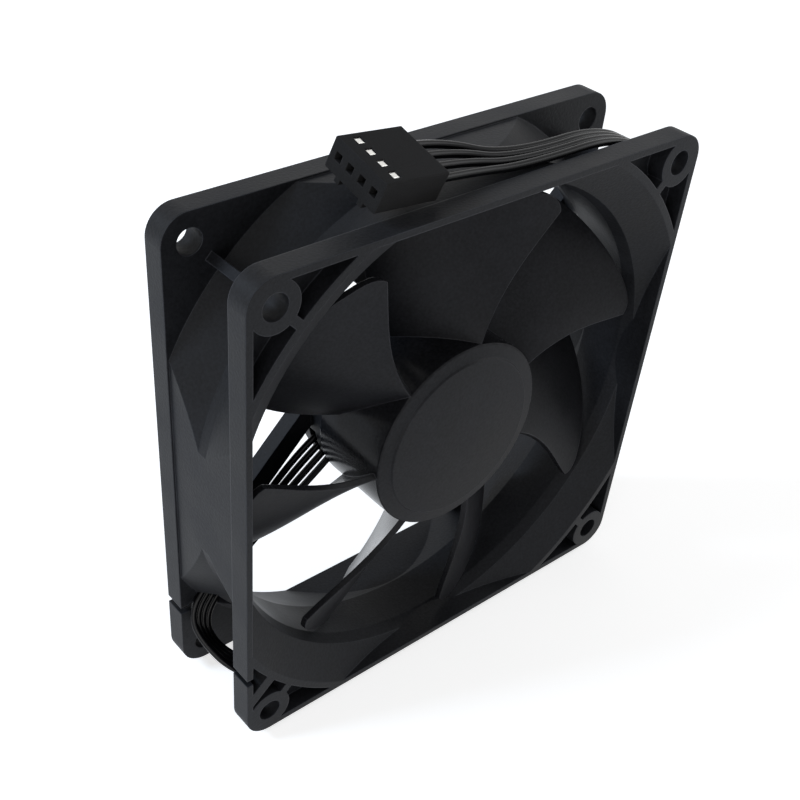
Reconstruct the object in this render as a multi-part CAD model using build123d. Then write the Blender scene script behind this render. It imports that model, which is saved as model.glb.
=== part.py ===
"""Case cooling fan with a captive four wire lead, one STEP file per piece.

Millimetres. X is to the right seen from the intake, Y points to the rear
(strut) side and Z is up. The origin is the centre of the square frame.
"""
import math
import os

from build123d import *

# Frame
side = 92.0
depth = 25.0
edge_dist = 4.75
hole_spacing = side - 2 * edge_dist
hole_d = 4.3
flange_t = 4.2
side_wall = 1.1
flat_half = side / 2 - side_wall
front_y = -depth / 2
rear_y = depth / 2

# Duct: a round throat with a conical flare in each front corner
throat_margin = 1.2
throat_r = side / 2 - throat_margin
flare_out = 6.5
lip_out = 0.7
lip_depth = 3.9
lip_ease = 2.4
duct_wall = 1.9
duct_inset = 0.4
front_root_out = 1.5
rear_mouth_out = 4.2
rear_root_out = 6.2
throat_end = 10.5
waist_half = 1.0

# Corner pockets, ribs and webs
rim = 1.2
boss_r = 4.2
ring_land = 1.3
pocket_depth = 3.2
rib_t = 1.6
web_out = 9.2
web_corners = (45, 135, 315)

# Slots and notches for the lead, measured from the lower left corner of the frame
notch_up = 14.1
notch_h = 1.5
notch_in = 2.8
notch_over = 0.5
lead_rib_t = 2.2
lead_rib_from = (0.0, 8.6)
lead_rib_to = (6.5, 14.8)

# Hub and blades
hub_r = 18.0
hub_wall = 1.4
hub_setback = 2.4
hub_tail = 6.5
hub_face_t = 1.2
hub_round = 0.35
shoulder_drop = 0.35
dome_step = 0.35
dome_rise = 0.45
dome_r = 15.4
blade_n = 7
tip_gap = 1.3
tip_r = throat_r - tip_gap
blade_t = 1.1
tip_drop = 0.085

# Rotor metal parts
yoke_t = 0.9
magnet_t = 1.7
shaft_d = 3.0
running_fit = 0.03
insert_r = 2.6
insert_flange_r = 4.2
insert_flange_t = 1.4
groove_depth = 0.4
clip_t = 0.4
clip_slit = 1.0
clip_rim = 0.5
shaft_tail = 0.6
yoke_lip = 0.5
magnet_front = 4.5
magnet_tail = 0.8

# Bearing
bearing_r = 3.0
bearing_setback = 4.9
tube_wall = 1.0
tube_lead = 0.15
washer_t = 0.45
washer_fit = 0.05
washer_gap = 0.05
end_float = 0.25
tube_plug_t = 1.0
tube_plug_gap = 0.95

# Motor base
base_inset = 0.6
base_rim_t = 1.2
base_plate_t = 1.2
base_gap = 0.5
base_boss_r = 5.6
strut_n = 4
strut_w = 4.2
strut_t = 3.1
strut_angle = 226.0
strut_offset = 12.9

# Stator
air_gap = 0.6
core_len = 7.0
core_shift = 1.95
pole_n = 4
pole_w = 4.0
pole_gap = 3.0
pole_tip_t = 1.6
yoke_ring_t = 2.6
insulator_t = 1.0
insulator_fit = 0.1
bobbin_wall = 1.2
bobbin_w = 8.0
post_r = 0.7
post_out = 1.4
coil_t = 1.3
coil_gap = 0.1
coil_tip_gap = 0.7

# Circuit board
board_t = 1.0
board_setback = 4.1
board_edge_gap = 0.6
board_bore_gap = 0.3
sensor_size = (1.6, 3.0, 1.1)
sensor_in = 0.6
chip_size = (4.0, 5.0, 1.5)
chip_r = 10.4
chip_angle = 60
capacitor_size = (2.4, 1.6, 1.2)
capacitor_n = 3
capacitor_r = 9.6
capacitor_first = 110
capacitor_step = 24
joint_size = (1.2, 1.5)
joint_in = 0.6

# Lead
wire_d = 1.3
wire_n = 4
wire_pitch = 1.36
wire_rise = 0.25
lead_gap = 0.15
lead_slack = 0.3
slot_gap = 0.3
door_gap = 0.8

# Plug housing
plug_l = 12.8
plug_w = 11.0
plug_h = 5.0
plug_pitch = 2.54
plug_entry = 1.3
plug_entry_l = 1.4
plug_socket = 1.8
plug_socket_l = 9.5
plug_window_x = 2.9
plug_window = (1.5, 1.4)
plug_round = 0.3
plug_centre = (-16.4, -4.3, side / 2 + 5.15)
plug_yaw = 5.7
plug_pitch_angle = 8.4
plug_roll = 17.0
key_w = 1.0
key_h = 0.8
key_back = 1.0
terminal_l = 7.4
terminal_wall = 0.45
tab_size = (1.2, 1.1)
tab_sink = 0.12

# Sizes that follow from the ones above
boss_at = hole_spacing / 2
flare_r = throat_r + flare_out
lip_r = throat_r + lip_out
pocket_r = flare_r + ring_land
front_root_r = throat_r + duct_wall + front_root_out
rear_mouth_r = throat_r + rear_mouth_out
rear_root_r = throat_r + rear_root_out
throat_end_y = rear_y - throat_end
web_r = throat_r + web_out
shaft_r = shaft_d / 2
hub_front_y = front_y + hub_setback
hub_rear_y = rear_y - hub_tail
hub_inner_r = hub_r - hub_wall
hub_inner_y = hub_front_y + hub_face_t
yoke_inner_r = hub_inner_r - yoke_t
yoke_plate_rear = hub_inner_y + yoke_t
magnet_inner_r = yoke_inner_r - magnet_t
core_r = magnet_inner_r - air_gap
core_mid_y = (hub_front_y + hub_rear_y) / 2 + core_shift
core_front_y = core_mid_y - core_len / 2
core_rear_y = core_mid_y + core_len / 2
tube_r = bearing_r + tube_wall
bearing_front_y = hub_front_y + bearing_setback
base_plate_y = rear_y - base_plate_t
clip_end_y = base_plate_y - tube_plug_t - tube_plug_gap - shaft_tail
bearing_rear_y = clip_end_y - clip_t - end_float - washer_t - washer_gap
insert_rear_y = bearing_front_y - washer_gap - washer_t - end_float
rear_washer_y = bearing_rear_y + washer_gap
clip_y = rear_washer_y + washer_t + end_float
base_r = hub_r - base_inset
base_front_y = hub_rear_y + base_gap
board_rear_y = rear_y - board_setback
board_front_y = board_rear_y - board_t
board_r = base_r - base_rim_t - board_edge_gap
strut_y = rear_y - strut_t
wire_y = board_rear_y + wire_d / 2 + wire_rise


def radial(r, deg, y=0.0):
    a = math.radians(deg)
    return (r * math.cos(a), y, r * math.sin(a))


def disc(y0, y1, r):
    return Pos(0, (y0 + y1) / 2, 0) * Rot(90, 0, 0) * Cylinder(r, y1 - y0)


def ring(y0, y1, outer, inner):
    return disc(y0, y1, outer) - disc(y0 - 1, y1 + 1, inner)


def slab(sketch, y0, y1):
    return Pos(0, y1, 0) * Rot(90, 0, 0) * extrude(sketch, amount=y1 - y0)


def block(x0, x1, y0, y1, z0, z1):
    return Pos((x0 + x1) / 2, (y0 + y1) / 2, (z0 + z1) / 2) * Box(x1 - x0, y1 - y0, z1 - z0)


def turned(points):
    face = make_face(Polyline(*points, close=True))
    return revolve(face, axis=Axis.Y)


def about_y(shape, deg):
    return Rot(0, -deg, 0) * shape


def bar(p, q, width):
    length = math.dist(p, q)
    mid = ((p[0] + q[0]) / 2, (p[1] + q[1]) / 2)
    deg = math.degrees(math.atan2(q[1] - p[1], q[0] - p[0]))
    return Pos(*mid) * Rot(0, 0, deg) * Rectangle(length, width)


# Lead route, one list of corner points for each wire
strut_dir = (math.cos(math.radians(strut_angle)), math.sin(math.radians(strut_angle)))
slot_first = (1.6 - side / 2, 14.4 - side / 2)
slot_run = 15.0
hole_back = 6.0
hole_drop = 1.9
fold_drop = 3.9
pad_r = 11.8
pad_first = 195.0
pad_step = 9.0
low_row_y = -2.9
top_row_y = -2.9
turn_in = 15.0
kink_x = 9.0
tail_l = 8.0


def slot_point(i):
    across = (-strut_dir[1], strut_dir[0])
    return (slot_first[0] + across[0] * wire_pitch * i, slot_first[1] + across[1] * wire_pitch * i)


def before_slot(i, back, drop):
    x, z = slot_point(i)
    return (x - strut_dir[0] * back, wire_y - drop, z - strut_dir[1] * back)


def plug_frame():
    return Pos(*plug_centre) * Rot(0, 0, plug_yaw) * Rot(0, plug_pitch_angle, 0) * Rot(plug_roll, 0, 0)


def plug_point(x, y, z):
    v = (plug_frame() * Pos(x, y, z)).position
    return (v.X, v.Y, v.Z)


def wire_route(i):
    stacked = wire_pitch * (wire_n - 1 - i)
    low_y = low_row_y - stacked
    top_y = top_row_y - stacked
    out = side / 2 - duct_inset + wire_d / 2 + lead_gap
    far = out + lead_slack
    turn = side / 2 - turn_in
    sx, sz = slot_point(i)
    pin = plug_pitch * (i - (wire_n - 1) / 2)
    return [
        radial(pad_r, pad_first + pad_step * i, wire_y),
        radial(hub_r + 0.6, pad_first + pad_step * i, wire_y),
        before_slot(i, slot_run, 0.0),
        before_slot(i, hole_back, hole_drop),
        before_slot(i, 0.0, fold_drop),
        (sx, low_y, sz),
        (-turn, low_y, -out),
        (0.0, low_y, -far),
        (turn, low_y, -out),
        (out, low_y, -turn),
        (far, (low_y + top_y) / 2, 0.0),
        (out, top_y, turn),
        (turn, top_y, out),
        (kink_x, top_y, out),
        plug_point(plug_l / 2 + tail_l, pin, 0),
        plug_point(plug_l / 2, pin, 0),
    ]


def turn_angle(a, b, c):
    u = Vector(*b) - Vector(*a)
    v = Vector(*c) - Vector(*b)
    return math.radians(u.get_angle(v))


def bend_radii(points):
    radii = []
    for a, b, c in zip(points, points[1:], points[2:]):
        run = min(math.dist(a, b), math.dist(b, c))
        radii.append(0.45 * run / math.tan(turn_angle(a, b, c) / 2))
    return radii


def wire(i):
    points = wire_route(i)
    path = FilletPolyline(*points, radius=bend_radii(points))
    start = Plane(origin=path @ 0, z_dir=path % 0)
    body = sweep(start * Circle(wire_d / 2), path=path)
    print("wire", i + 1, "length", round(path.length, 1), "volume", round(body.volume, 1),
          "expected", round(math.pi * (wire_d / 2) ** 2 * path.length, 1),
          "radii", [round(r, 1) for r in bend_radii(points)])
    return body


# Frame pieces
def bore():
    lip_y = front_y + lip_depth
    round_bore = turned([
        (0, front_y - 1), (flare_r, front_y - 1), (flare_r, front_y), (lip_r, lip_y),
        (throat_r, lip_y + lip_ease), (throat_r, throat_end_y),
        (rear_mouth_r, rear_y), (rear_mouth_r, rear_y + 1), (0, rear_y + 1),
    ])
    return round_bore & slab(Rectangle(2 * flat_half, 2 * flat_half), front_y - 1, rear_y + 1)


def duct_shell():
    waist_r = throat_r + duct_wall
    shell = turned([
        (0, front_y), (front_root_r, front_y), (front_root_r, front_y + flange_t),
        (waist_r, -waist_half), (waist_r, waist_half),
        (rear_root_r, rear_y - flange_t), (rear_root_r, rear_y), (0, rear_y),
    ])
    width = side - 2 * duct_inset
    return shell & slab(Rectangle(width, width), front_y, rear_y)


def pocket_sketch():
    inner = side - 2 * rim
    shape = RectangleRounded(inner, inner, edge_dist - rim) - Circle(pocket_r)
    for sx in (-1, 1):
        for sz in (-1, 1):
            shape -= Pos(sx * boss_at, sz * boss_at) * Circle(boss_r)
            near = pocket_r * math.sqrt(0.5) - 1
            shape -= bar((sx * near, sz * near), (sx * boss_at, sz * boss_at), rib_t)
    start = (lead_rib_from[0] - side / 2, lead_rib_from[1] - side / 2)
    end = (lead_rib_to[0] - side / 2, lead_rib_to[1] - side / 2)
    return shape - bar(start, end, lead_rib_t)


def webs():
    one = slab(bar((throat_r + 1, 0), (web_r, 0), rib_t), front_y + pocket_depth, rear_y - pocket_depth)
    return [about_y(one, deg) for deg in web_corners]


def struts():
    across = (-strut_dir[1], strut_dir[0])
    mid = (-across[0] * strut_offset, -across[1] * strut_offset)
    far = (mid[0] + strut_dir[0] * side, mid[1] + strut_dir[1] * side)
    one = bar(mid, far, strut_w) & Circle(rear_mouth_r + 1) & Rectangle(side - side_wall, side - side_wall)
    one -= Circle(base_r - base_rim_t / 2)
    solid = slab(one, strut_y, rear_y)
    return [about_y(solid, 360 / strut_n * k) for k in range(strut_n)]


def motor_base():
    rim_wall = ring(base_front_y, rear_y, base_r, base_r - base_rim_t)
    plate = disc(base_plate_y, rear_y, base_r)
    boss = ring(board_rear_y, base_plate_y, base_boss_r, tube_r)
    return [rim_wall, plate, boss]


def lead_hole():
    first = before_slot(0, 0.0, fold_drop)
    last = before_slot(wire_n - 1, 0.0, fold_drop)
    margin = wire_d / 2 + slot_gap
    inner = slot_run - hole_back
    mid = ((first[0] + last[0]) / 2, (first[2] + last[2]) / 2)
    wide = wire_pitch * (wire_n - 1) + 2 * margin
    near = (mid[0] - strut_dir[0] * inner, mid[1] - strut_dir[1] * inner)
    return [slab(bar(mid, near, wide), wire_y - fold_drop - margin, rear_y - flange_t + slot_gap)]


def notches():
    cuts = []
    low = notch_up - side / 2
    inner = flange_t + notch_over
    for y0, y1 in ((front_y - notch_over, front_y + inner), (rear_y - inner, rear_y + notch_over)):
        cuts.append(block(-side / 2 - 1, notch_in - side / 2, y0, y1, low, low + notch_h))
    return cuts


def lead_door():
    cut = []
    low = wire_y - wire_d / 2 - slot_gap
    for i in range(wire_n):
        deg = pad_first + pad_step * i
        p = radial(base_r - base_rim_t - 1, deg)
        q = radial(base_r + 1, deg)
        sketch = bar((p[0], p[2]), (q[0], q[2]), wire_d + 2 * door_gap)
        cut.append(slab(sketch, low, wire_y + wire_d / 2 + slot_gap))
    return cut


def frame():
    plate = RectangleRounded(side, side, edge_dist)
    body = slab(plate, front_y, front_y + flange_t)
    body += slab(plate, rear_y - flange_t, rear_y)
    body += duct_shell()
    body += webs()
    body -= bore()
    pockets = pocket_sketch()
    body -= slab(pockets, front_y - 1, front_y + pocket_depth)
    body -= slab(pockets, rear_y - pocket_depth, rear_y + 1)
    holes = [slab(Pos(sx * boss_at, sz * boss_at) * Circle(hole_d / 2), front_y - 1, rear_y + 1)
             for sx in (-1, 1) for sz in (-1, 1)]
    body -= holes
    body += struts() + motor_base()
    body -= lead_hole() + notches() + lead_door()
    return body


# Blade edges at fractions of the span: angle, and distance from the frame's front or rear face
lead_theta = [(0.0, 29.8), (0.235, 26.5), (0.47, 22.2), (0.706, 17.9), (1.0, 14.2)]
lead_depth = [(0.0, 3.0), (0.235, 3.2), (0.47, 3.3), (0.706, 3.2), (1.0, 2.8)]
trail_theta = [(0.0, 62.0), (0.235, 62.0), (0.47, 60.5), (0.706, 57.5), (1.0, 51.5)]
trail_depth = [(0.0, 10.5), (0.235, 9.1), (0.47, 7.9), (0.706, 7.0), (1.0, 6.5)]
camber_root = 0.02
camber_tip = 0.16


def smooth_at(table, s):
    total = 0.0
    for j, (sj, vj) in enumerate(table):
        weight = 1.0
        for k, (sk, _) in enumerate(table):
            if k != j:
                weight *= (s - sk) / (sj - sk)
        total += vj * weight
    return total


def blade_point(s, u):
    s = s * (1 - tip_drop * abs(2 * u - 1) ** 8)
    r = hub_r + (tip_r - hub_r) * s
    theta = smooth_at(lead_theta, s) * (1 - u) + smooth_at(trail_theta, s) * u
    lead_y = front_y + smooth_at(lead_depth, s)
    chord = rear_y - smooth_at(trail_depth, s) - lead_y
    sag = (camber_root + (camber_tip - camber_root) * max(s, 0)) * 4 * u * (1 - u)
    y = lead_y + chord * (u - sag)
    return Vector(*radial(r, theta, y))


def blade():
    root_s = -0.5 * hub_wall / (tip_r - hub_r)
    stations = [root_s, 0.2, 0.4, 0.6, 0.8, 1.0]
    steps = 14
    grid = [[blade_point(s, k / steps) for k in range(steps + 1)] for s in stations]
    skin = Face.make_surface_from_array_of_points(grid, tol=0.02)
    return Solid.thicken(skin, -blade_t)


def hub_profile():
    shoulder_y = hub_front_y + shoulder_drop
    face_y = hub_front_y - dome_step
    apex_y = face_y - dome_rise
    corner = hub_round * (1 - math.sqrt(0.5))
    edge_in = dome_r - dome_step / 2
    edge_out = dome_r + dome_step / 2
    ball_r = (edge_in ** 2 + dome_rise ** 2) / (2 * dome_rise)
    mid_y = apex_y + ball_r - math.sqrt(ball_r ** 2 - (edge_in / 2) ** 2)
    edges = Polyline((0, hub_inner_y), (hub_inner_r, hub_inner_y), (hub_inner_r, hub_rear_y),
                     (hub_r, hub_rear_y), (hub_r, shoulder_y + hub_round))
    edges += ThreePointArc((hub_r, shoulder_y + hub_round), (hub_r - corner, shoulder_y + corner),
                           (hub_r - hub_round, shoulder_y))
    edges += Polyline((hub_r - hub_round, shoulder_y), (edge_out, hub_front_y), (edge_in, face_y))
    edges += ThreePointArc((edge_in, face_y), (edge_in / 2, mid_y), (0, apex_y))
    edges += Line((0, apex_y), (0, hub_inner_y))
    return make_face(edges)


def impeller():
    one = blade()
    blades = [about_y(one, 360 / blade_n * k) for k in range(blade_n)]
    return revolve(hub_profile(), axis=Axis.Y) + blades


def rotor_yoke():
    cup = disc(hub_inner_y, hub_rear_y - yoke_lip, hub_inner_r)
    cup -= disc(yoke_plate_rear, hub_rear_y, yoke_inner_r)
    return cup - disc(hub_inner_y - 1, yoke_plate_rear + 1, insert_r)


def ring_magnet():
    return ring(hub_front_y + magnet_front, hub_rear_y - magnet_tail, yoke_inner_r, magnet_inner_r)


def shaft_insert():
    body = disc(hub_inner_y, insert_rear_y, insert_r)
    body += disc(yoke_plate_rear, yoke_plate_rear + insert_flange_t, insert_flange_r)
    return body - disc(hub_inner_y - 1, insert_rear_y + 1, shaft_r)


def rotor_shaft():
    body = disc(hub_inner_y, clip_end_y + shaft_tail, shaft_r)
    return body - ring(clip_y, clip_y + clip_t, shaft_r + 1, shaft_r - groove_depth)


def shaft_clip():
    body = ring(clip_y, clip_y + clip_t, bearing_r - clip_rim, shaft_r - groove_depth)
    return body - block(-clip_slit / 2, clip_slit / 2, clip_y - 1, clip_y + 1, 0, bearing_r)


# Bearing and stator
def bearing_tube():
    return ring(insert_rear_y + tube_lead, base_plate_y, tube_r, bearing_r)


def sleeve_bearing():
    return ring(bearing_front_y, bearing_rear_y, bearing_r, shaft_r + running_fit)


def washer(y0):
    return ring(y0, y0 + washer_t, bearing_r - washer_fit, shaft_r + running_fit)


def tube_plug():
    return disc(base_plate_y - tube_plug_t, base_plate_y, bearing_r)


def stator_core():
    sketch = Circle(tube_r + yoke_ring_t)
    for k in range(pole_n):
        turn = Rot(0, 0, 45 + 360 / pole_n * k)
        sketch += turn * Pos(core_r / 2, 0) * Rectangle(core_r, pole_w)
    tips = Circle(core_r) - Circle(core_r - pole_tip_t)
    for k in range(pole_n):
        turn = Rot(0, 0, 360 / pole_n * k)
        tips -= turn * Pos(core_r, 0) * Rectangle(4 * pole_tip_t, pole_gap)
    sketch = (sketch & Circle(core_r)) + tips
    sketch -= Circle(tube_r)
    return slab(sketch, core_front_y, core_rear_y)


def insulator_sketch():
    sketch = Circle(tube_r + yoke_ring_t)
    for k in range(pole_n):
        turn = Rot(0, 0, 45 + 360 / pole_n * k)
        sketch += turn * Pos(core_r / 2, 0) * Rectangle(core_r - bobbin_wall, pole_w)
        sketch += turn * Pos(core_r - bobbin_wall, 0) * Rectangle(bobbin_wall, bobbin_w)
    return sketch - Circle(tube_r + insulator_fit)


def insulator_front():
    return slab(insulator_sketch(), core_front_y - insulator_t, core_front_y)


def insulator_rear():
    body = slab(insulator_sketch(), core_rear_y, core_rear_y + insulator_t)
    for k in range(pole_n):
        x, _, z = radial(tube_r + post_out, 360 / pole_n * k)
        body += Pos(x, 0, z) * disc(core_rear_y, board_front_y, post_r)
    return body


def winding():
    inner = tube_r + yoke_ring_t + coil_gap
    outer = core_r - pole_tip_t - coil_tip_gap
    tall = core_len + 2 * insulator_t
    wrap = Box(outer - inner, tall + 2 * coil_t, pole_w + 2 * coil_t)
    wrap -= Box(outer - inner + 1, tall, pole_w)
    return Pos((inner + outer) / 2, core_mid_y, 0) * wrap


def stator_windings():
    return Compound(children=[about_y(winding(), 45 + 360 / pole_n * k) for k in range(pole_n)])


# Board and its parts
def circuit_board():
    return ring(board_front_y, board_rear_y, board_r, tube_r + board_bore_gap)


def on_board(r, deg, size, y0, y1):
    body = Pos(r, (y0 + y1) / 2, 0) * Box(size[0], y1 - y0, size[1])
    return about_y(body, deg)


def hall_sensor():
    r = magnet_inner_r + magnet_t / 2 - sensor_in
    return on_board(r, 0, sensor_size, board_front_y - sensor_size[2], board_front_y)


def driver_chip():
    return on_board(chip_r, chip_angle, chip_size, board_rear_y, board_rear_y + chip_size[2])


def board_capacitors():
    parts = []
    for k in range(capacitor_n):
        deg = capacitor_first + capacitor_step * k
        top_y = board_rear_y + capacitor_size[2]
        parts.append(on_board(capacitor_r, deg, capacitor_size, board_rear_y, top_y))
    return Compound(children=parts)


def solder_joints():
    parts = []
    for i in range(wire_n):
        deg = pad_first + pad_step * i
        parts.append(on_board(pad_r - joint_in, deg, joint_size, board_rear_y, wire_y + wire_d / 2))
    return Compound(children=parts)


# Plug
def row_y(i):
    return plug_pitch * ((wire_n - 1) / 2 - i)


def connector_housing():
    body = Box(plug_l, plug_w, plug_h)
    body = fillet(body.edges().filter_by(Axis.X), plug_round)
    chamber_l = plug_socket_l - plug_entry_l
    for i in range(wire_n):
        y = row_y(i)
        body -= Pos(-plug_l / 2 + plug_entry_l / 2, y, 0) * Box(plug_entry_l, plug_entry, plug_entry)
        chamber = Box(chamber_l, plug_socket, plug_socket)
        body -= Pos(-plug_l / 2 + plug_entry_l + chamber_l / 2, y, 0) * chamber
        body -= Pos(-plug_l / 2 + plug_window_x, y, plug_h / 4) * Box(*plug_window, plug_h / 2)
    for y in (-plug_pitch, plug_pitch):
        key = Box(plug_l - 2 * key_back, key_w, key_h)
        body += Pos(-key_back, y, -plug_h / 2 - key_h / 2) * key
    return plug_frame() * body


def terminal(i):
    x = -plug_l / 2 + plug_socket_l - terminal_l / 2
    hollow = plug_socket - 2 * terminal_wall
    sleeve = Box(terminal_l, plug_socket, plug_socket)
    sleeve -= Pos(-terminal_wall, 0, 0) * Box(terminal_l, hollow, hollow)
    sleeve = Pos(x, 0, 0) * sleeve
    tab_h = plug_h / 2 - tab_sink - hollow / 2
    sleeve += Pos(-plug_l / 2 + plug_window_x, 0, plug_h / 2 - tab_sink - tab_h / 2) * Box(*tab_size, tab_h)
    return plug_frame() * Pos(0, row_y(i), 0) * sleeve


def connector_terminals():
    return Compound(children=[terminal(i) for i in range(wire_n)])


def pieces():
    made = {
        "frame": frame(),
        "impeller": impeller(),
        "rotor_yoke": rotor_yoke(),
        "ring_magnet": ring_magnet(),
        "shaft_insert": shaft_insert(),
        "rotor_shaft": rotor_shaft(),
        "shaft_clip": shaft_clip(),
        "bearing_tube": bearing_tube(),
        "sleeve_bearing": sleeve_bearing(),
        "front_thrust_washer": washer(bearing_front_y - washer_gap - washer_t),
        "rear_thrust_washer": washer(rear_washer_y),
        "tube_plug": tube_plug(),
        "stator_core": stator_core(),
        "insulator_front": insulator_front(),
        "insulator_rear": insulator_rear(),
        "stator_windings": stator_windings(),
        "circuit_board": circuit_board(),
        "hall_sensor": hall_sensor(),
        "driver_chip": driver_chip(),
        "board_capacitors": board_capacitors(),
        "solder_joints": solder_joints(),
        "connector_housing": connector_housing(),
        "connector_terminals": connector_terminals(),
    }
    for i in range(wire_n):
        made["wire_" + str(i + 1)] = wire(i)
    return made


os.makedirs("parts", exist_ok=True)
for name, shape in pieces().items():
    box = shape.bounding_box()
    print(name, len(shape.solids()), "solid(s), volume", round(shape.volume, 1),
          "size", [round(v, 2) for v in (box.size.X, box.size.Y, box.size.Z)])
    export_step(shape, "parts/" + name + ".step")
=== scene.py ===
"""Studio scene of a 92 mm computer case fan: finishes, four-wire lead, stage and camera."""

import math
from typing import NamedTuple

import bpy
from mathutils import Matrix, Vector


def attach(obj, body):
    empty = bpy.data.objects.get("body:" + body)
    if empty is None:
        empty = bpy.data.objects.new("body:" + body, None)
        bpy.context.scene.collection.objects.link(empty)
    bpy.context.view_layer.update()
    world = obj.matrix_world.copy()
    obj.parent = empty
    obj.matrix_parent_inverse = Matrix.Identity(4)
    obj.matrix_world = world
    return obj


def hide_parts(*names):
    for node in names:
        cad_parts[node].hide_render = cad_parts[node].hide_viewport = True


bl_info = {
    "name": "Case Fan Studio",
    "version": (1, 0, 0),
    "blender": (4, 5, 0),
    "location": "View3D > Sidebar > Case Fan",
    "description": "Dresses the packed case fan and sets it on a plain studio stage",
    "category": "Object",
}

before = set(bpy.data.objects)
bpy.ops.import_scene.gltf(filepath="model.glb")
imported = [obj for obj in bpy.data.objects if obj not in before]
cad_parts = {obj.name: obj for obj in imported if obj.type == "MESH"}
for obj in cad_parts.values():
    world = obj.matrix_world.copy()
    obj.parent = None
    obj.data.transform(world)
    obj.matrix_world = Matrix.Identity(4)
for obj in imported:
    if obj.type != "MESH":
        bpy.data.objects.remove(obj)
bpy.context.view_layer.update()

MM = 0.001
WHITE = (1.0, 1.0, 1.0, 1.0)


# Finishes of the parts

class Finish(NamedTuple):
    """How one material looks: tones are linear, grain is in millimetres."""

    colour: tuple
    front_rough: float
    side_rough: float
    metallic: float
    ior: float
    grain: float
    depth: float
    mottle: float
    # Tone of the edges: partly rubbed wear, partly a painted highlight along them
    edge_wear_and_highlight: float


# The last value of each finish is the paler edge tone: partly rubbed wear, partly a painted
# highlight along edges
FINISHES = {
    "frame_plastic": Finish(
        (0.0108, 0.0114, 0.0134),
        0.50, 0.48, 0.0, 1.23, 0.50, 0.060, 0.55, 0.085,
    ),
    "rotor_plastic": Finish(
        (0.0124, 0.0127, 0.0146),
        0.46, 0.19, 0.0, 1.19, 0.50, 0.020, 0.55, 0.080,
    ),
    "plug_plastic": Finish(
        (0.0190, 0.0187, 0.0190),
        0.50, 0.60, 0.0, 1.10, 0.22, 0.020, 0.30, 0.035,
    ),
    "white_nylon": Finish(
        (0.78, 0.77, 0.72),
        0.45, 0.45, 0.0, 1.50, 0.40, 0.006, 0.06, 0.85,
    ),
    "bobbin": Finish(
        (0.80, 0.78, 0.70),
        0.50, 0.50, 0.0, 1.50, 0.40, 0.008, 0.06, 0.86,
    ),
    "wire_sleeve": Finish(
        (0.0032, 0.0033, 0.0040),
        0.16, 0.16, 0.0, 1.24, 0.90, 0.006, 0.20, 0.012,
    ),
    "chip": Finish(
        (0.016, 0.016, 0.017),
        0.55, 0.55, 0.0, 1.45, 0.12, 0.006, 0.20, 0.030,
    ),
    "ceramic": Finish(
        (0.46, 0.36, 0.25),
        0.48, 0.48, 0.0, 1.50, 0.20, 0.004, 0.12, 0.55,
    ),
    "board": Finish(
        (0.018, 0.105, 0.045),
        0.38, 0.38, 0.0, 1.50, 0.50, 0.006, 0.22, 0.16,
    ),
    "magnet": Finish(
        (0.040, 0.038, 0.037),
        0.66, 0.66, 0.0, 1.50, 0.25, 0.010, 0.30, 0.070,
    ),
    "steel": Finish(
        (0.56, 0.56, 0.57),
        0.28, 0.28, 1.0, 1.50, 0.35, 0.004, 0.12, 0.72,
    ),
    "lamination": Finish(
        (0.36, 0.36, 0.37),
        0.44, 0.44, 1.0, 1.50, 0.30, 0.006, 0.18, 0.52,
    ),
    "brass": Finish(
        (0.72, 0.52, 0.22),
        0.30, 0.30, 1.0, 1.50, 0.30, 0.004, 0.12, 0.82,
    ),
    "bronze": Finish(
        (0.50, 0.33, 0.17),
        0.46, 0.46, 1.0, 1.50, 0.22, 0.008, 0.22, 0.62,
    ),
    "enamelled_copper": Finish(
        (0.62, 0.24, 0.09),
        0.30, 0.30, 1.0, 1.50, 0.45, 0.020, 0.16, 0.70,
    ),
    "solder": Finish(
        (0.62, 0.62, 0.62),
        0.32, 0.32, 1.0, 1.50, 0.40, 0.010, 0.12, 0.75,
    ),
    "tin": Finish(
        (0.76, 0.75, 0.72),
        0.26, 0.26, 1.0, 1.50, 0.30, 0.004, 0.10, 0.86,
    ),
}

# Noise values between which most of a noise lies
NOISE_RANGE = (0.3, 0.7)
# Share of the normal along Y on front faces and on sides
FRONT_AND_SIDE = (-0.75, -0.15)
# Agreement of rounded and plain normal on a sharp edge and on an open face
EDGE_AND_FACE = (0.80, 0.995)
# Strength of the paler edge tone (partly rubbed wear, partly a painted highlight), at the least
# and at the most marked places
EDGE_WEAR_AND_HIGHLIGHT_RANGE = (0.25, 1.0)
# Change of roughness from place to place
UNEVEN = (0.88, 1.12)
# Share of the centre radius at which the smooth shading is back
CENTRE_BLEND = 1.2
BEVEL_SAMPLES = 6

FINISH_OF_NODE = {
    "frame": "frame_plastic",
    "impeller": "rotor_plastic",
    "rotor_yoke": "steel",
    "ring_magnet": "magnet",
    "shaft_insert": "brass",
    "rotor_shaft": "steel",
    "shaft_clip": "steel",
    "bearing_tube": "brass",
    "sleeve_bearing": "bronze",
    "front_thrust_washer": "white_nylon",
    "rear_thrust_washer": "white_nylon",
    "tube_plug": "white_nylon",
    "stator_core": "lamination",
    "insulator_front": "bobbin",
    "insulator_rear": "bobbin",
    "stator_windings": "enamelled_copper",
    "circuit_board": "board",
    "hall_sensor": "chip",
    "driver_chip": "chip",
    "board_capacitors": "ceramic",
    "solder_joints": "solder",
    "connector_housing": "plug_plastic",
    "connector_terminals": "tin",
    "wire_1": "wire_sleeve",
    "wire_2": "wire_sleeve",
    "wire_3": "wire_sleeve",
    "wire_4": "wire_sleeve",
}


def link(tree, output, target):
    """Joins two sockets."""
    tree.links.new(output, target)


def math_node(tree, operation, first, second):
    """The result of a sum, product or maximum of two outputs, or of an output and a number."""
    node = tree.nodes.new("ShaderNodeMath")
    node.operation = operation
    link(tree, first, node.inputs[0])
    if isinstance(second, bpy.types.NodeSocket):
        link(tree, second, node.inputs[1])
    else:
        node.inputs[1].default_value = second
    return node.outputs[0]


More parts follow.
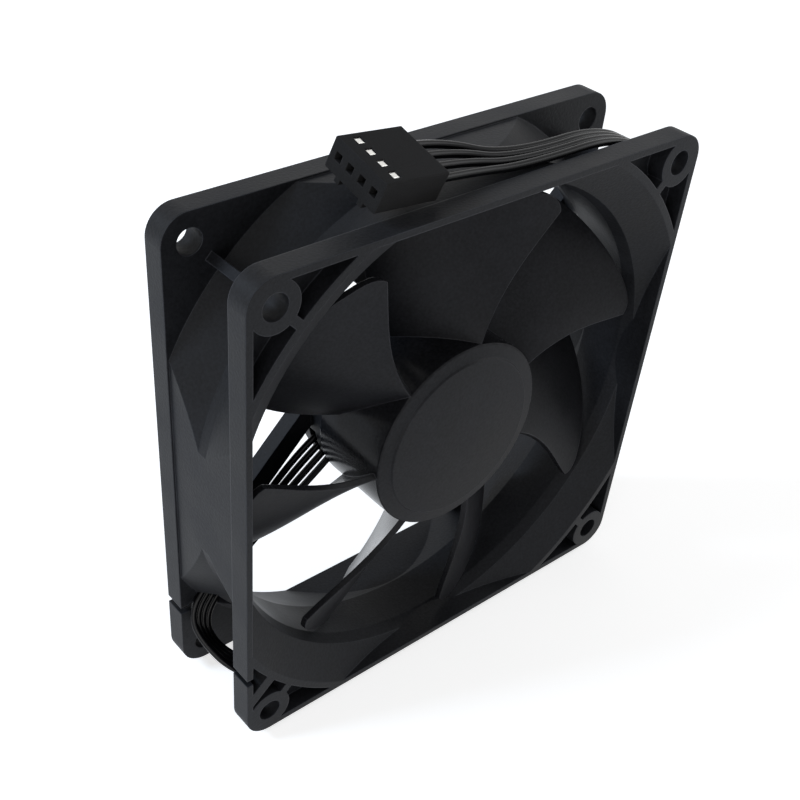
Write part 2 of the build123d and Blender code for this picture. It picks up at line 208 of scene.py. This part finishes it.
def noise(tree, coords, size, detail):
    """A noise whose features are about size metres across."""
    node = tree.nodes.new("ShaderNodeTexNoise")
    node.inputs["Scale"].default_value = 1.0 / size
    node.inputs["Detail"].default_value = detail
    node.inputs["Roughness"].default_value = 0.55
    link(tree, coords, node.inputs["Vector"])
    return node.outputs["Fac"]


def spread(tree, value, low, high, between=NOISE_RANGE):
    """Maps a value from the range between to low..high, held at both ends."""
    start, end = between
    node = tree.nodes.new("ShaderNodeMapRange")
    node.inputs["From Min"].default_value = start
    node.inputs["From Max"].default_value = end
    node.inputs["To Min"].default_value = low
    node.inputs["To Max"].default_value = high
    link(tree, value, node.inputs["Value"])
    return node.outputs["Result"]


def blend_colour(tree, factor, low, high):
    """A colour between low and high; each is a colour or another node's output."""
    node = tree.nodes.new("ShaderNodeMix")
    node.data_type = "RGBA"
    link(tree, factor, node.inputs["Factor"])
    for name, colour in (("A", low), ("B", high)):
        socket = next(s for s in node.inputs if s.name == name and s.type == "RGBA")
        if isinstance(colour, bpy.types.NodeSocket):
            link(tree, colour, socket)
        else:
            socket.default_value = (*colour, 1.0)
    return next(s for s in node.outputs if s.type == "RGBA")


def edge_mask(tree, normal):
    """1 along sharp edges and 0 on open faces, from how far a rounded normal turns away."""
    geometry = tree.nodes.new("ShaderNodeNewGeometry")
    dot = tree.nodes.new("ShaderNodeVectorMath")
    dot.operation = "DOT_PRODUCT"
    link(tree, normal, dot.inputs[0])
    link(tree, geometry.outputs["Normal"], dot.inputs[1])
    return spread(tree, dot.outputs["Value"], 1.0, 0.0, EDGE_AND_FACE)


def steady_centre(tree, normal, coords, radius):
    """The faces' true normal round the fan's axis, where their shared corner shades unevenly."""
    geometry = tree.nodes.new("ShaderNodeNewGeometry")
    flat = tree.nodes.new("ShaderNodeVectorMath")
    flat.operation = "MULTIPLY"
    flat.inputs[1].default_value = (1.0, 0.0, 1.0)
    link(tree, coords, flat.inputs[0])
    away = tree.nodes.new("ShaderNodeVectorMath")
    away.operation = "LENGTH"
    link(tree, flat.outputs["Vector"], away.inputs[0])
    inside = spread(tree, away.outputs["Value"], 1.0, 0.0, (radius, radius * CENTRE_BLEND))
    mix = tree.nodes.new("ShaderNodeMix")
    mix.data_type = "VECTOR"
    link(tree, inside, mix.inputs["Factor"])
    first, second = (s for s in mix.inputs if s.type == "VECTOR" and s.name in {"A", "B"})
    link(tree, normal, first)
    link(tree, geometry.outputs["True Normal"], second)
    return next(s for s in mix.outputs if s.type == "VECTOR")


def base_colour(tree, finish, cloud, fine, rounded):
    """The colour with slow and fine mottle, and a paler tone along edges that is partly rubbed
    wear and partly a painted highlight.
    """
    darker = tuple(c * (1.0 - finish.mottle) for c in finish.colour)
    lighter = tuple(min(1.0, c * (1.0 + finish.mottle)) for c in finish.colour)
    slow_half = spread(tree, cloud, 0.0, 0.5)
    fine_half = spread(tree, fine, 0.0, 0.5)
    tone = math_node(tree, "ADD", slow_half, fine_half)
    # Paler edges, partly rubbed wear and partly a painted highlight where light would catch the
    # edges
    wear_and_highlight_mask = math_node(tree, "MULTIPLY", edge_mask(tree, rounded), spread(tree, cloud, *EDGE_WEAR_AND_HIGHLIGHT_RANGE))
    wear_and_highlight_colour = tuple(c / max(finish.colour) * finish.edge_wear_and_highlight for c in finish.colour)
    return blend_colour(tree, wear_and_highlight_mask, blend_colour(tree, tone, darker, lighter), wear_and_highlight_colour)


def roughness(tree, finish, cloud, facing):
    """The roughness, from front faces to sides, a little uneven."""
    direction = tree.nodes.new("ShaderNodeSeparateXYZ")
    link(tree, facing, direction.inputs[0])
    plain = spread(
        tree, direction.outputs["Y"], finish.front_rough, finish.side_rough, FRONT_AND_SIDE
    )
    return math_node(tree, "MULTIPLY", plain, spread(tree, cloud, *UNEVEN))


def make_finish(name, settings):
    """The node material of one finish: mottled colour, uneven gloss, fine grain, and edges paler
    from wear and a painted highlight.
    """
    finish = FINISHES[name]
    material = bpy.data.materials.new(name + "_finish")
    material.use_nodes = True
    tree = material.node_tree
    shader = tree.nodes["Principled BSDF"]
    shader.inputs["Metallic"].default_value = finish.metallic
    shader.inputs["IOR"].default_value = finish.ior
    place = tree.nodes.new("ShaderNodeTexCoord")
    coords = place.outputs["Object"]
    bevel = tree.nodes.new("ShaderNodeBevel")
    bevel.samples = BEVEL_SAMPLES
    bevel.inputs["Radius"].default_value = settings.edge_radius
    rounded = bevel.outputs["Normal"]
    fine = noise(tree, coords, finish.grain * MM, 2.0)
    cloud = noise(tree, coords, settings.mottle_size, 3.0)
    colour = base_colour(tree, finish, cloud, fine, rounded)
    link(tree, colour, shader.inputs["Base Color"])
    rough = roughness(tree, finish, cloud, place.outputs["Normal"])
    link(tree, rough, shader.inputs["Roughness"])
    bump = tree.nodes.new("ShaderNodeBump")
    bump.inputs["Strength"].default_value = settings.grain_strength
    bump.inputs["Distance"].default_value = finish.depth * MM
    link(tree, fine, bump.inputs["Height"])
    link(tree, rounded, bump.inputs["Normal"])
    normal = bump.outputs["Normal"]
    if name == "rotor_plastic":
        normal = steady_centre(tree, normal, coords, settings.centre_radius)
    link(tree, normal, shader.inputs["Normal"])
    return material


def finish_material(name, settings):
    """The finish of that name, made once."""
    return bpy.data.materials.get(name + "_finish") or make_finish(name, settings)


# Lead, in millimetres

STRUT_ANGLE = math.radians(226.0)
STRUT_DIR = Vector((math.cos(STRUT_ANGLE), math.sin(STRUT_ANGLE)))
ACROSS = Vector((-STRUT_DIR.y, STRUT_DIR.x))

WIRES = 4
PITCH = 1.36

# Solder pads on the board and the mouth of the motor base
PAD_R = 11.8
PAD_FIRST = 195.0
PAD_STEP = 9.0
MOUTH_R = 18.6
WIRE_Y = 9.3

# Slot of the first wire in the rear flange, as X and Z, and the drop of the wires in it
SLOT_FIRST = Vector((-44.4, -31.6))
SLOT_DROP = 1.7

# Row of the wires round the frame, between the flanges
ROW_Y = -2.9
LEAD_OUT = 46.4
LEAD_FAR = LEAD_OUT + 0.3

# The plug, and the straight run of the wires out of it
PLUG_L = 12.8
PLUG_PITCH = 2.54
PLUG_TAIL = 8.0
PLUG_POSE = (
    Matrix.Translation((-16.4, -4.3, 51.15))
    @ Matrix.Rotation(math.radians(5.7), 4, "Z")
    @ Matrix.Rotation(math.radians(8.4), 4, "Y")
    @ Matrix.Rotation(math.radians(17.0), 4, "X")
)


def round_point(radius, degrees, y):
    """A point on a circle about the fan's axis."""
    turn = math.radians(degrees)
    return (radius * math.cos(turn), y, radius * math.sin(turn))


def before_slot(i, back, drop):
    """A point of wire i on the strut, so far back from the slot and so far in front of WIRE_Y."""
    place = SLOT_FIRST + ACROSS * (PITCH * i) - STRUT_DIR * back
    return (place.x, WIRE_Y - drop, place.y)


def wire_route(i):
    """Control points of one wire: base pads, strut, slot, round the frame, plug."""
    slot_x, slot_y, slot_z = before_slot(i, 0.0, SLOT_DROP)
    row_y = ROW_Y - PITCH * (WIRES - 1 - i)
    angle = PAD_FIRST + PAD_STEP * i
    pin = PLUG_PITCH * (i - (WIRES - 1) / 2)
    return [
        # Pad, mouth of the base, strut and slot
        round_point(PAD_R, angle, WIRE_Y),
        round_point(MOUTH_R, angle, WIRE_Y),
        before_slot(i, 15.0, 0.0),
        before_slot(i, 6.0, 0.9),
        (slot_x, slot_y, slot_z),
        # Fold down and forward to the row between the flanges
        (slot_x - 0.1, 5.0, slot_z - 4.6),
        (slot_x + 2.8, 0.35 * row_y, -41.0),
        # Bottom
        (-31.0, row_y, -LEAD_OUT),
        (0.0, row_y, -LEAD_FAR),
        (33.0, row_y, -LEAD_OUT),
        # Right side
        (LEAD_OUT, row_y, -33.0),
        (LEAD_FAR, row_y, 0.0),
        (LEAD_OUT, row_y, 34.0),
        # Top and plug
        (34.0, row_y, LEAD_OUT),
        (9.0, row_y, LEAD_OUT),
        tuple(PLUG_POSE @ Vector((PLUG_L / 2 + PLUG_TAIL, pin, 0))),
        tuple(PLUG_POSE @ Vector((PLUG_L / 2, pin, 0))),
    ]


# Steps round and along each span of a wire's curve
ROUND_STEPS = 5
LENGTH_STEPS = 16


def make_wire(i, settings):
    """One wire as a smooth curve, which stands for the CAD tube of the same route."""
    curve = bpy.data.curves.new(f"lead_wire_{i + 1}", "CURVE")
    curve.dimensions = "3D"
    curve.bevel_depth = settings.diameter / 2
    curve.bevel_resolution = ROUND_STEPS
    curve.resolution_u = LENGTH_STEPS
    curve.use_fill_caps = True
    spline = curve.splines.new("NURBS")
    route = wire_route(i)
    spline.points.add(len(route) - 1)
    for point, place in zip(spline.points, route):
        point.co = (*(c * MM for c in place), 1.0)
    spline.order_u = 3
    spline.use_endpoint_u = True
    wire = bpy.data.objects.new(f"lead_wire_{i + 1}", curve)
    bpy.context.scene.collection.objects.link(wire)
    curve.materials.append(finish_material("wire_sleeve", bpy.context.scene.fan_finish))
    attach(wire, "stator")
    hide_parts(f"wire_{i + 1}")
    return wire


# Stage

FLOOR_COLOUR = (0.90, 0.90, 0.90, 1.0)
FLOOR_ROUGHNESS = 0.9
FLOOR_SPECULAR = 0.1
FLOOR_SIDES = 64

# Places in metres, sizes in metres and colours of the lamps
KEY_LAMP = ((-0.66, -0.58, 0.10), 0.6, (1.0, 0.98, 0.96))
RIGHT_LAMP = ((0.80, -0.40, 0.40), 0.5, (0.96, 0.98, 1.0))
SKY_LAMP = ((-0.70, 0.36, 0.66), 0.3, (0.70, 0.83, 1.0))

# The photograph's camera, solved from the frame's edges and screw holes
SENSOR_WIDTH = 36.0
CLIP = (0.005, 20.0)
CAMERA_RIGHT = (0.778201, -0.625168, 0.059731)
CAMERA_DOWN = (-0.368233, -0.53127, -0.762992)
CAMERA_AHEAD = (0.508731, 0.571766, -0.643643)
CAMERA_PLACE = (-0.117354, -0.117093, 0.121444)


def seen_rays(tree):
    """1 for rays of the camera, of reflections and of light through glass, 0 for the others."""
    path = tree.nodes.new("ShaderNodeLightPath")
    seen = path.outputs["Is Camera Ray"]
    for name in ("Is Glossy Ray", "Is Transmission Ray"):
        seen = math_node(tree, "MAXIMUM", seen, path.outputs[name])
    return seen


def floor_material(settings):
    """A pale matt surface that the camera sees near white while it still takes shadows."""
    material = bpy.data.materials.new("studio_floor")
    material.use_nodes = True
    tree = material.node_tree
    shader = tree.nodes["Principled BSDF"]
    shader.inputs["Base Color"].default_value = FLOOR_COLOUR
    shader.inputs["Roughness"].default_value = FLOOR_ROUGHNESS
    shader.inputs["Specular IOR Level"].default_value = FLOOR_SPECULAR
    shader.inputs["Emission Color"].default_value = WHITE
    glow = math_node(tree, "MULTIPLY", seen_rays(tree), settings.floor_glow)
    link(tree, glow, shader.inputs["Emission Strength"])
    return material


def make_floor(settings):
    """A flat round floor under the fan."""
    mesh = bpy.data.meshes.new("studio_floor")
    rim = []
    for k in range(FLOOR_SIDES):
        turn = 2 * math.pi * k / FLOOR_SIDES
        x = settings.floor_radius * math.cos(turn)
        y = settings.floor_radius * math.sin(turn)
        rim.append((x, y, settings.floor_z))
    mesh.from_pydata(rim, [], [list(range(FLOOR_SIDES))])
    mesh.materials.append(floor_material(settings))
    floor = bpy.data.objects.new("studio_floor", mesh)
    bpy.context.scene.collection.objects.link(floor)


def make_world(settings):
    """White behind the fan, and an even soft light from all round."""
    world = bpy.data.worlds.new("studio_world")
    world.use_nodes = True
    tree = world.node_tree
    background = tree.nodes["Background"]
    background.inputs["Color"].default_value = WHITE
    strength = spread(tree, seen_rays(tree), settings.ambient, 1.0, (0.0, 1.0))
    link(tree, strength, background.inputs["Strength"])
    bpy.context.scene.world = world


def make_lamp(name, lamp, power):
    """A square soft lamp that faces the fan."""
    place, size, colour = lamp
    light = bpy.data.lights.new(name, "AREA")
    light.shape = "SQUARE"
    light.size = size
    light.energy = power
    light.color = colour
    holder = bpy.data.objects.new(name, light)
    holder.location = place
    holder.rotation_euler = (-Vector(place)).to_track_quat("-Z", "Y").to_euler()
    bpy.context.scene.collection.objects.link(holder)


def make_camera(settings):
    """The camera of the photograph."""
    data = bpy.data.cameras.new("photo_camera")
    data.lens = settings.lens
    data.sensor_width = SENSOR_WIDTH
    data.shift_x = settings.shift_x
    data.shift_y = settings.shift_y
    data.clip_start, data.clip_end = CLIP
    camera = bpy.data.objects.new("photo_camera", data)
    right = Vector(CAMERA_RIGHT)
    up = -Vector(CAMERA_DOWN)
    back = -Vector(CAMERA_AHEAD)
    turn = Matrix((right, up, back)).transposed().to_4x4()
    camera.matrix_world = Matrix.Translation(CAMERA_PLACE) @ turn
    bpy.context.scene.collection.objects.link(camera)
    bpy.context.scene.camera = camera


# Settings

class FanFinishSettings(bpy.types.PropertyGroup):
    edge_radius: bpy.props.FloatProperty(
        name="Edge radius", description="How far sharp moulded edges look rounded",
        default=0.0003, min=0.0, unit="LENGTH",
    )
    mottle_size: bpy.props.FloatProperty(
        name="Mottle size", description="Size of the slow changes in tone and gloss",
        default=0.012, min=0.001, unit="LENGTH",
    )
    centre_radius: bpy.props.FloatProperty(
        name="Centre radius",
        description="Radius round the axis inside which the hub shades by its flat faces",
        default=0.0039, min=0.0, unit="LENGTH",
    )
    grain_strength: bpy.props.FloatProperty(
        name="Grain strength", description="Strength of the fine moulded grain",
        default=0.7, min=0.0, max=1.0, subtype="FACTOR",
    )


class FanLeadSettings(bpy.types.PropertyGroup):
    diameter: bpy.props.FloatProperty(
        name="Wire diameter", description="Outer diameter of each insulated wire",
        default=0.0013, min=0.0005, unit="LENGTH",
    )


class FanStageSettings(bpy.types.PropertyGroup):
    floor_z: bpy.props.FloatProperty(
        name="Floor height", description="Height of the floor, just under the wrapped lead",
        default=-0.0475, unit="LENGTH",
    )
    floor_radius: bpy.props.FloatProperty(
        name="Floor radius", description="Radius of the round floor",
        default=1.6, min=0.3, unit="LENGTH",
    )
    floor_glow: bpy.props.FloatProperty(
        name="Floor glow",
        description="Extra brightness that lifts the floor to white for the camera",
        default=0.65, min=0.0, max=1.0,
    )
    ambient: bpy.props.FloatProperty(
        name="Ambient level", description="Strength of the even light from all round",
        default=0.25, min=0.0, max=2.0,
    )
    key_power: bpy.props.FloatProperty(
        name="Key power", description="Power of the soft lamp at the front left",
        default=2.6, min=0.0, unit="POWER",
    )
    right_power: bpy.props.FloatProperty(
        name="Right power", description="Power of the soft lamp on the right",
        default=1.8, min=0.0, unit="POWER",
    )
    sky_power: bpy.props.FloatProperty(
        name="Sky power", description="Power of the cool lamp above and behind on the left",
        default=5.5, min=0.0, unit="POWER",
    )
    lens: bpy.props.FloatProperty(
        name="Lens", description="Focal length in millimetres on a 36 mm sensor", default=51.9,
    )
    shift_x: bpy.props.FloatProperty(
        name="Shift X", description="Sideways shift of the view", default=0.05,
    )
    shift_y: bpy.props.FloatProperty(
        name="Shift Y", description="Upward shift of the view", default=0.10,
    )


# Operators

class FAN_OT_finish_parts(bpy.types.Operator):
    """Gives every CAD part its finish"""

    bl_idname = "fan.finish_parts"
    bl_label = "Finish Parts"
    bl_options = {"REGISTER", "UNDO"}

    def execute(self, context):
        settings = context.scene.fan_finish
        for node, name in FINISH_OF_NODE.items():
            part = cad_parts[node]
            material = finish_material(name, settings)
            for slot in part.material_slots:
                slot.material = material
        return {"FINISHED"}


class FAN_OT_add_lead(bpy.types.Operator):
    """Lays the four wires of the lead from the base to the plug"""

    bl_idname = "fan.add_lead"
    bl_label = "Add Lead"
    bl_options = {"REGISTER", "UNDO"}

    def execute(self, context):
        for i in range(WIRES):
            make_wire(i, context.scene.fan_lead)
        return {"FINISHED"}


class FAN_OT_build_stage(bpy.types.Operator):
    """Sets the floor, the soft light and the camera of the photograph"""

    bl_idname = "fan.build_stage"
    bl_label = "Build Stage"
    bl_options = {"REGISTER", "UNDO"}

    def execute(self, context):
        settings = context.scene.fan_stage
        make_floor(settings)
        make_world(settings)
        make_lamp("key_lamp", KEY_LAMP, settings.key_power)
        make_lamp("right_lamp", RIGHT_LAMP, settings.right_power)
        make_lamp("sky_lamp", SKY_LAMP, settings.sky_power)
        make_camera(settings)
        context.scene.view_settings.view_transform = "Standard"
        return {"FINISHED"}


class FAN_PT_studio(bpy.types.Panel):
    """Buttons and settings of the case fan scene"""

    bl_idname = "FAN_PT_studio"
    bl_label = "Case Fan"
    bl_space_type = "VIEW_3D"
    bl_region_type = "UI"
    bl_category = "Case Fan"

    def draw(self, context):
        groups = (
            ("fan.finish_parts", context.scene.fan_finish),
            ("fan.add_lead", context.scene.fan_lead),
            ("fan.build_stage", context.scene.fan_stage),
        )
        for operator, settings in groups:
            box = self.layout.box()
            box.operator(operator)
            for name in settings.bl_rna.properties.keys():
                if name not in {"rna_type", "name"}:
                    box.prop(settings, name)


CLASSES = (
    FanFinishSettings,
    FanLeadSettings,
    FanStageSettings,
    FAN_OT_finish_parts,
    FAN_OT_add_lead,
    FAN_OT_build_stage,
    FAN_PT_studio,
)


def register():
    for cls in CLASSES:
        bpy.utils.register_class(cls)
    bpy.types.Scene.fan_finish = bpy.props.PointerProperty(type=FanFinishSettings)
    bpy.types.Scene.fan_lead = bpy.props.PointerProperty(type=FanLeadSettings)
    bpy.types.Scene.fan_stage = bpy.props.PointerProperty(type=FanStageSettings)


def unregister():
    del bpy.types.Scene.fan_stage
    del bpy.types.Scene.fan_lead
    del bpy.types.Scene.fan_finish
    for cls in reversed(CLASSES):
        bpy.utils.unregister_class(cls)


def main():
    register()
    bpy.ops.fan.build_stage()
    bpy.ops.fan.add_lead()
    bpy.ops.fan.finish_parts()


if __name__ == "__main__":
    main()
